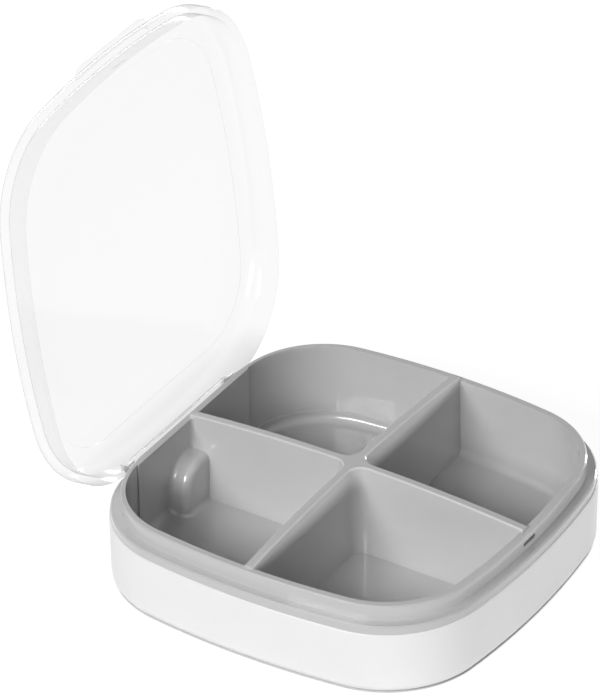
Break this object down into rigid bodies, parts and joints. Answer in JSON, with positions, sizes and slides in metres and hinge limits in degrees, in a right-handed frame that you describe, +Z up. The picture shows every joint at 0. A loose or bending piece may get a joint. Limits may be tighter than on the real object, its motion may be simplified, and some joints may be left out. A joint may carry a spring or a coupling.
{
  "type": "pocket pill box",
  "caption": "Pocket pill box with rounded sides, open compartments in a grey tray, a white outer shell and a clear hinged lid that snaps shut.",
  "frame": {"origin": "middle of the underside, on the surface that the box stands on", "axes": "+Z up, +Y towards the hinge, +X to the right seen from the catch; the hinge runs along X"},
  "size_m": [0.072, 0.0857, 0.0853],
  "materials": {
    "white_shell": "satin",
    "grey_tray": "satin",
    "clear_lid": "polished, clear"
  },
  "bodies": {
    "case": {"outer_shell": "white_shell", "inner_tray": "grey_tray"},
    "lid": {"lid": "clear_lid"}
  },
  "joints": [
    {"name": "lid_hinge", "type": "hinge", "parent": "case", "child": "lid", "pos_m": [0, 0.0345, 0.0138], "axis": [-1, 0, 0], "range_deg": [-98.5, 0]}
  ]
}
